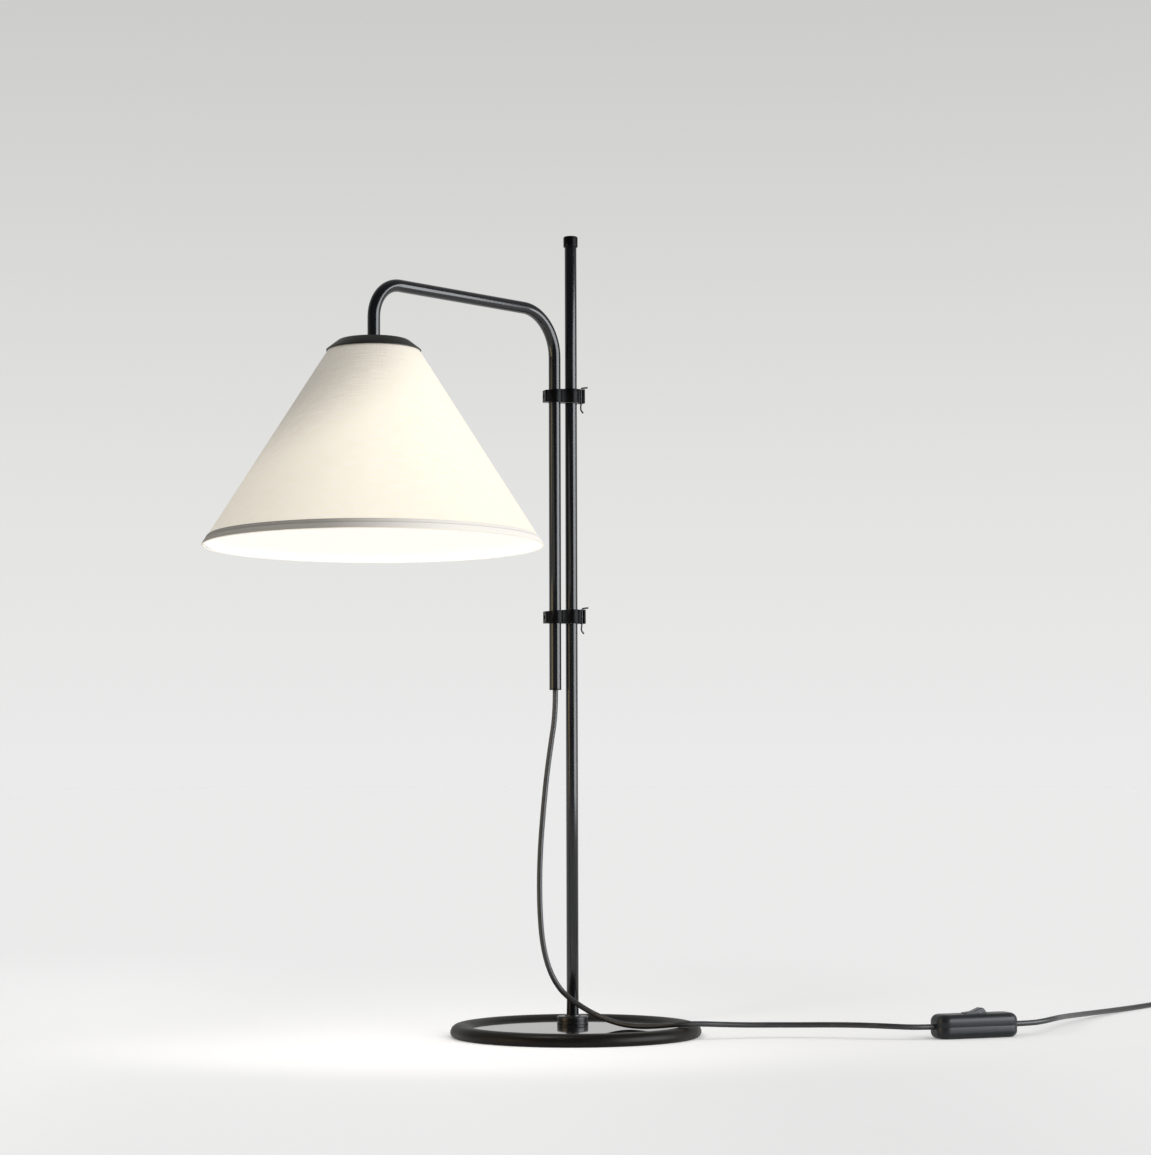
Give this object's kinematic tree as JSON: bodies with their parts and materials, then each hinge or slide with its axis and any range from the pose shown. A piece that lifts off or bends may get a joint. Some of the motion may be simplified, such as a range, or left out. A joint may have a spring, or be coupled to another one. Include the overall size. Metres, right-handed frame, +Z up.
{
  "type": "table lamp",
  "caption": "Table lamp: fabric cone shade on a bent arm tube, clamped to slide and swing on an upright post set off-centre in a round rimmed base, with a rocker switch on its lead.",
  "frame": {"origin": "middle of the round base, on the surface the lamp stands on", "axes": "+Z up; the arm points along -X and the lead leaves towards +X and -Y"},
  "size_m": [0.9695, 0.5223, 0.6636],
  "materials": {
    "gunmetal_tube": "near-black metallic lacquer, semi-gloss",
    "polished_disc": "polished plate, mirror-like",
    "black_rubber": "soft, matt",
    "felt": "matt",
    "black_lacquer": "satin black",
    "zinc_steel": "plated, satin",
    "black_moulding": "fine moulded grain",
    "slide_bush": "smooth, self-lubricating",
    "cream_cloth": "coarse linen weave, translucent",
    "white_liner": "smooth film, translucent",
    "grey_trim": "folded tape",
    "white_wire": "white powder coat",
    "brass": "plain",
    "bulb_cap_metal": "plain",
    "opal_glass": "opal, smooth",
    "cord_sheath": "satin sheath",
    "switch_shell": "satin",
    "rocker": "gloss",
    "plated_pins": "nickel plate"
  },
  "bodies": {
    "stand": {"base_disc": "polished_disc", "base_rim": "black_rubber", "base_pad": "felt", "post_hub": "black_lacquer", "post_tube": "gunmetal_tube", "post_foot_plug": "zinc_steel", "post_screw": "zinc_steel", "post_washer": "zinc_steel", "post_cap": "black_moulding", "mains_lead_hanging": "cord_sheath", "mains_lead_floor": "cord_sheath", "mains_lead_coil": "cord_sheath", "mains_lead_tail": "cord_sheath", "switch_lower_shell": "switch_shell", "switch_upper_shell": "switch_shell", "switch_contact_block": "slide_bush", "plug_body": "cord_sheath", "plug_strain_relief": "cord_sheath", "plug_pins": "plated_pins"},
    "carriage": {"upper_bush_top": "slide_bush", "upper_bush_bottom": "slide_bush", "lower_bush_top": "slide_bush", "lower_bush_bottom": "slide_bush"},
    "upper_release": {"upper_release_wire": "zinc_steel"},
    "lower_release": {"lower_release_wire": "zinc_steel"},
    "rocker": {"switch_rocker": "rocker"},
    "arm": {"arm_end_bush": "black_moulding", "arm_tube": "gunmetal_tube", "bulb_cap": "bulb_cap_metal", "bulb_glass": "opal_glass", "head_locknut": "zinc_steel", "head_nipple": "brass", "lampholder_cap": "black_moulding", "lampholder_contact": "brass", "lampholder_core": "slide_bush", "lampholder_skirt": "black_moulding", "lampholder_thread": "brass", "lower_arm_screw": "zinc_steel", "lower_clamp_yoke": "black_moulding", "lower_release_pin": "zinc_steel", "shade_bottom_hoop": "white_wire", "shade_cap": "black_lacquer", "shade_fabric": "cream_cloth", "shade_liner": "white_liner", "shade_ring": "black_moulding", "shade_spider": "white_wire", "shade_trim": "grey_trim", "tube_lead": "cord_sheath", "upper_arm_screw": "zinc_steel", "upper_clamp_yoke": "black_moulding", "upper_release_pin": "zinc_steel"}
  },
  "joints": [
    {"name": "arm_slide", "type": "slide", "parent": "stand", "child": "carriage", "axis": [0, 0, 1], "range_m": [-0.12, 0.115], "deforming": ["mains_lead_hanging"]},
    {"name": "arm_swing", "type": "hinge", "parent": "carriage", "child": "arm", "pos_m": [0.026, 0.027, 0.43], "axis": [0, 0, 1], "range_deg": [-110, 110]},
    {"name": "upper_release_lever", "type": "hinge", "parent": "arm", "child": "upper_release", "pos_m": [0.03185, 0.02117, 0.52835], "axis": [-0.8829, 0.4695, 0], "range_deg": [0, 9], "stiffness_Nm_per_rad": 0.02, "springref_deg": -5.73},
    {"name": "lower_release_lever", "type": "hinge", "parent": "arm", "child": "lower_release", "pos_m": [0.03185, 0.02117, 0.34325], "axis": [-0.8829, 0.4695, 0], "range_deg": [0, 9], "stiffness_Nm_per_rad": 0.02, "springref_deg": -5.73},
    {"name": "rocker_tilt", "type": "hinge", "parent": "stand", "child": "rocker", "pos_m": [0.198, -0.2529, 0.0157], "axis": [0.4524, 0.8918, 0], "range_deg": [0, 28]}
  ]
}
